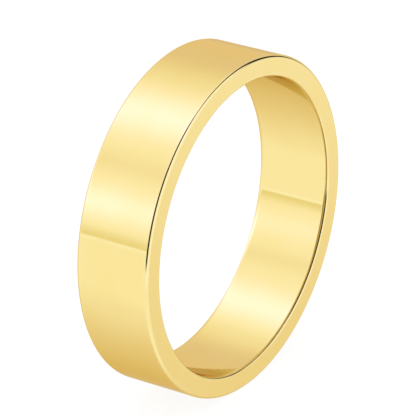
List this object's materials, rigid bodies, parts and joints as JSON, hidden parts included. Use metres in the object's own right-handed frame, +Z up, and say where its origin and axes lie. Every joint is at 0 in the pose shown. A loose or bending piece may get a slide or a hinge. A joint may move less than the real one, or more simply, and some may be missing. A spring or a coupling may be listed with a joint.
{
  "type": "wedding band",
  "caption": "Plain flat wedding band in polished yellow metal: a seamless ring of flat section with softened edges, worn on the finger.",
  "frame": {"origin": "centre of the finger hole, halfway along the band's width", "axes": "+Y along the finger hole, +Z up as the band stands on its edge, +X across it"},
  "size_m": [0.0212, 0.005, 0.0212],
  "materials": {
    "gold": null
  },
  "bodies": {
    "root": {"band": "gold"}
  },
  "joints": []
}
